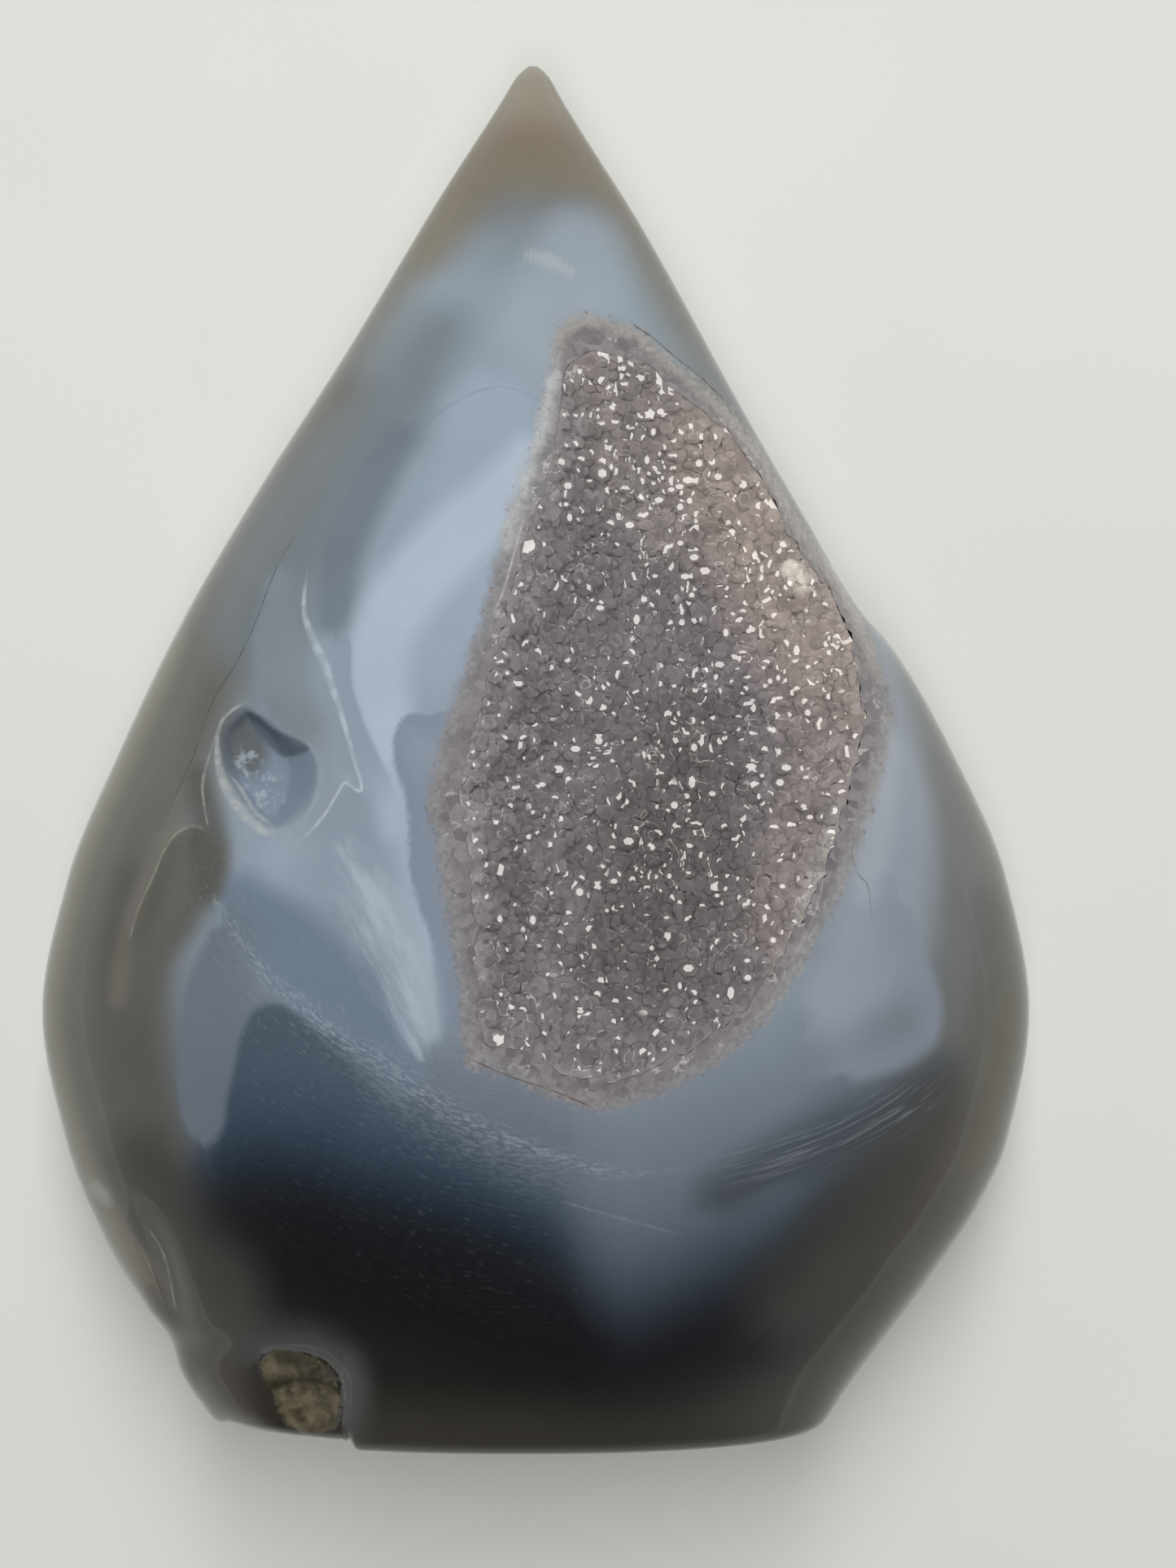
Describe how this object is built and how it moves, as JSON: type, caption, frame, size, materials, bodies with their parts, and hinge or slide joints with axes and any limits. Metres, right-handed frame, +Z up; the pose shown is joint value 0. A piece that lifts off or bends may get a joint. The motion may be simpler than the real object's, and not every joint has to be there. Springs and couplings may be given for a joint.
{
  "type": "polished druzy agate teardrop",
  "caption": "Polished teardrop of banded agate lying on its ground back, with a cut foot and an open hollow lined with quartz crystals.",
  "frame": {"origin": "on the ground under the middle of the stone, which lies on the flat of its back", "axes": "+Z up out of the polished front with the hollow, +Y towards the point, +X to the right as the front is looked at with the point up"},
  "size_m": [0.083, 0.1148, 0.035],
  "materials": {
    "polished_agate": "polished to a gloss, milky blue-grey fading to beige at the point and near black at the foot",
    "druzy_quartz": "natural sparkling crystal faces, grey with a purple and brown tinge"
  },
  "bodies": {
    "root": {"agate_stone": "polished_agate", "druzy_crust": "druzy_quartz"}
  },
  "joints": []
}
